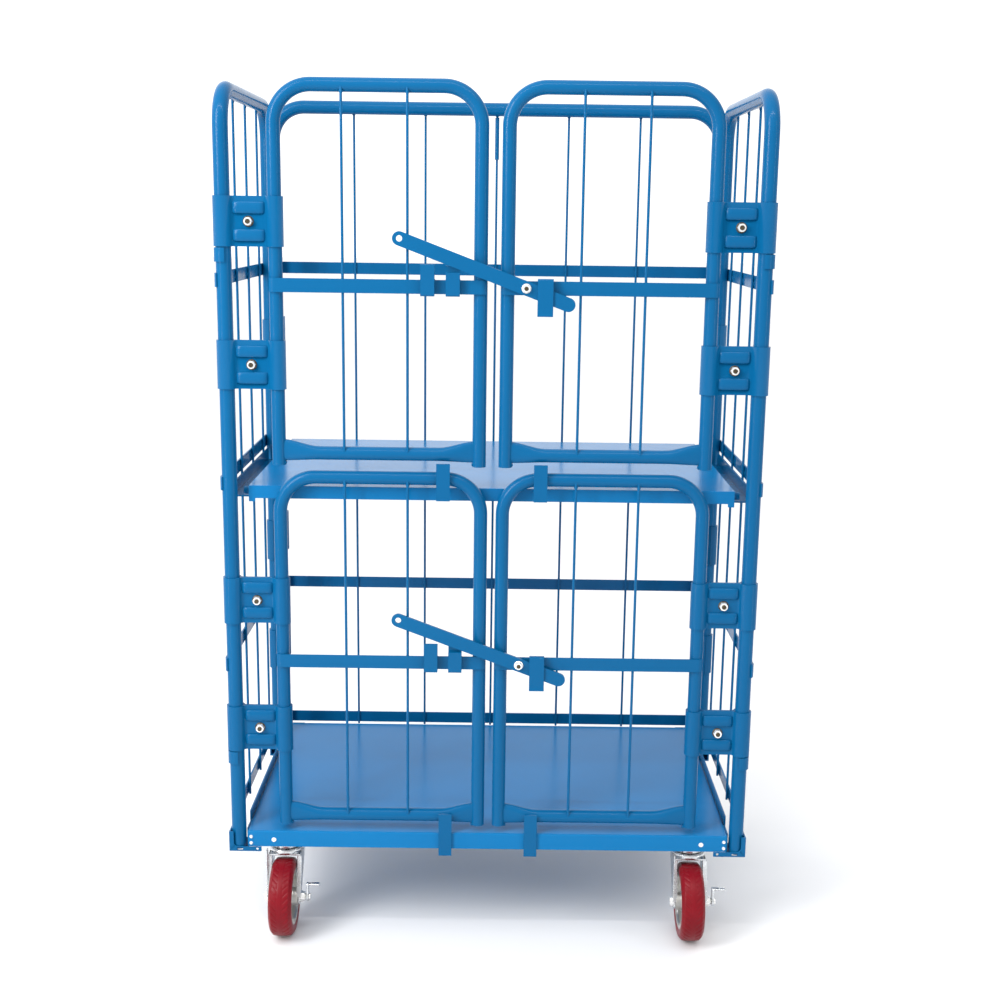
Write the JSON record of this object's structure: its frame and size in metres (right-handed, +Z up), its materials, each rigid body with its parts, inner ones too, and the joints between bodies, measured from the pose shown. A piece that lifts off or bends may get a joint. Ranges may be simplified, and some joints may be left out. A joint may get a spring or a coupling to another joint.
{
  "type": "roll cage container",
  "caption": "Castered roll cage with tubular side and back panels, two pairs of hinged front doors with pivoting latch bars, a fold-up middle shelf and a sheet deck.",
  "frame": {"origin": "floor level, in the middle of the overall length and width", "axes": "+Z up, +X to the right seen from the doors, -Y towards the doors"},
  "size_m": [0.9962, 0.6701, 1.62],
  "materials": {
    "blue_paint": "gloss powder coat",
    "zinc_plate": "bright zinc plate",
    "hub_iron": "smooth, light grey coat",
    "red_tread": "satin cast polyurethane"
  },
  "bodies": {
    "cage": {"base_frame": "blue_paint", "deck_sheet": "blue_paint", "corner_sockets": "blue_paint", "socket_bolts": "zinc_plate", "left_side_frame": "blue_paint", "left_side_infill": "blue_paint", "right_side_frame": "blue_paint", "right_side_infill": "blue_paint", "back_frame": "blue_paint", "back_infill": "blue_paint", "rear_clamps": "blue_paint", "rear_clamp_bolts": "zinc_plate", "shelf_rails": "blue_paint", "shelf_ears": "blue_paint", "caster_plates": "zinc_plate", "caster_bolts": "zinc_plate", "rear_forks": "zinc_plate", "rear_axles": "zinc_plate"},
    "shelf": {"shelf_plate": "blue_paint", "shelf_pins": "blue_paint"},
    "upper_right_link": {"upper_right_clamps": "blue_paint", "upper_right_clamp_bolts": "zinc_plate"},
    "upper_right_door": {"upper_right_door_frame": "blue_paint", "upper_right_door_infill": "blue_paint", "upper_right_clip": "blue_paint", "upper_latch_bolt": "zinc_plate"},
    "upper_left_link": {"upper_left_clamps": "blue_paint", "upper_left_clamp_bolts": "zinc_plate"},
    "upper_left_door": {"upper_left_door_frame": "blue_paint", "upper_left_door_infill": "blue_paint", "upper_left_keepers": "blue_paint"},
    "upper_latch": {"upper_latch_bar": "blue_paint"},
    "lower_right_link": {"lower_right_clamps": "blue_paint", "lower_right_clamp_bolts": "zinc_plate"},
    "lower_right_door": {"lower_right_door_frame": "blue_paint", "lower_right_door_infill": "blue_paint", "lower_right_catches": "blue_paint", "lower_latch_bolt": "zinc_plate"},
    "lower_left_link": {"lower_left_clamps": "blue_paint", "lower_left_clamp_bolts": "zinc_plate"},
    "lower_left_door": {"lower_left_door_frame": "blue_paint", "lower_left_door_infill": "blue_paint", "lower_left_catches": "blue_paint"},
    "lower_latch": {"lower_latch_bar": "blue_paint"},
    "front_left_swivel": {"front_left_fork": "zinc_plate", "front_left_axle": "zinc_plate"},
    "front_left_wheel": {"front_left_hub": "hub_iron", "front_left_tyre": "red_tread"},
    "front_left_brake_lever": {"front_left_brake": "zinc_plate"},
    "rear_left_wheel": {"rear_left_hub": "hub_iron", "rear_left_tyre": "red_tread"},
    "front_right_swivel": {"front_right_fork": "zinc_plate", "front_right_axle": "zinc_plate"},
    "front_right_wheel": {"front_right_hub": "hub_iron", "front_right_tyre": "red_tread"},
    "front_right_brake_lever": {"front_right_brake": "zinc_plate"},
    "rear_right_wheel": {"rear_right_hub": "hub_iron", "rear_right_tyre": "red_tread"}
  },
  "joints": [
    {"name": "shelf_fold", "type": "hinge", "parent": "cage", "child": "shelf", "pos_m": [0, 0.264, 0.875], "axis": [-1, 0, 0], "range_deg": [0, 85]},
    {"name": "upper_right_link_hinge", "type": "hinge", "parent": "cage", "child": "upper_right_link", "pos_m": [0.481, -0.26, 1.2], "axis": [0, 0, 1], "range_deg": [0, 180]},
    {"name": "upper_right_door_hinge", "type": "hinge", "parent": "upper_right_link", "child": "upper_right_door", "pos_m": [0.389, -0.26, 1.2], "axis": [0, 0, 1], "range_deg": [0, 90]},
    {"name": "upper_left_link_hinge", "type": "hinge", "parent": "cage", "child": "upper_left_link", "pos_m": [-0.481, -0.26, 1.2], "axis": [0, 0, -1], "range_deg": [0, 180]},
    {"name": "upper_left_door_hinge", "type": "hinge", "parent": "upper_left_link", "child": "upper_left_door", "pos_m": [-0.389, -0.26, 1.2], "axis": [0, 0, -1], "range_deg": [0, 90]},
    {"name": "upper_latch_pivot", "type": "hinge", "parent": "upper_right_door", "child": "upper_latch", "pos_m": [0.057, -0.2815, 1.259], "axis": [0, 1, 0], "range_deg": [-20.5, 69.5]},
    {"name": "lower_right_link_hinge", "type": "hinge", "parent": "cage", "child": "lower_right_link", "pos_m": [0.481, -0.26, 0.55], "axis": [0, 0, 1], "range_deg": [0, 180]},
    {"name": "lower_right_door_hinge", "type": "hinge", "parent": "lower_right_link", "child": "lower_right_door", "pos_m": [0.389, -0.26, 0.55], "axis": [0, 0, 1], "range_deg": [0, 90]},
    {"name": "lower_left_link_hinge", "type": "hinge", "parent": "cage", "child": "lower_left_link", "pos_m": [-0.481, -0.26, 0.55], "axis": [0, 0, -1], "range_deg": [0, 180]},
    {"name": "lower_left_door_hinge", "type": "hinge", "parent": "lower_left_link", "child": "lower_left_door", "pos_m": [-0.389, -0.26, 0.55], "axis": [0, 0, -1], "range_deg": [0, 90]},
    {"name": "lower_latch_pivot", "type": "hinge", "parent": "lower_right_door", "child": "lower_latch", "pos_m": [0.054, -0.2815, 0.562], "axis": [0, 1, 0], "range_deg": [-20.5, 69.5]},
    {"name": "front_left_swivel", "type": "hinge", "parent": "cage", "child": "front_left_swivel", "pos_m": [-0.396, -0.22, 0.165], "axis": [0, 0, 1], "continuous": true},
    {"name": "front_left_wheel", "type": "hinge", "parent": "front_left_swivel", "child": "front_left_wheel", "pos_m": [-0.396, -0.26, 0.075], "axis": [1, 0, 0], "continuous": true},
    {"name": "front_left_brake", "type": "hinge", "parent": "front_left_swivel", "child": "front_left_brake_lever", "pos_m": [-0.351, -0.26, 0.075], "axis": [1, 0, 0], "range_deg": [0, 35]},
    {"name": "rear_left_wheel", "type": "hinge", "parent": "cage", "child": "rear_left_wheel", "pos_m": [-0.396, 0.254, 0.075], "axis": [1, 0, 0], "continuous": true},
    {"name": "front_right_swivel", "type": "hinge", "parent": "cage", "child": "front_right_swivel", "pos_m": [0.396, -0.22, 0.165], "axis": [0, 0, 1], "continuous": true},
    {"name": "front_right_wheel", "type": "hinge", "parent": "front_right_swivel", "child": "front_right_wheel", "pos_m": [0.396, -0.26, 0.075], "axis": [1, 0, 0], "continuous": true},
    {"name": "front_right_brake", "type": "hinge", "parent": "front_right_swivel", "child": "front_right_brake_lever", "pos_m": [0.441, -0.26, 0.075], "axis": [1, 0, 0], "range_deg": [0, 35]},
    {"name": "rear_right_wheel", "type": "hinge", "parent": "cage", "child": "rear_right_wheel", "pos_m": [0.396, 0.254, 0.075], "axis": [1, 0, 0], "continuous": true}
  ],
  "couplings": [
    {"joint": "upper_left_link_hinge", "follows": "upper_right_link_hinge", "ratio": 1},
    {"joint": "upper_left_door_hinge", "follows": "upper_right_door_hinge", "ratio": 1},
    {"joint": "lower_left_link_hinge", "follows": "lower_right_link_hinge", "ratio": 1},
    {"joint": "lower_left_door_hinge", "follows": "lower_right_door_hinge", "ratio": 1}
  ]
}
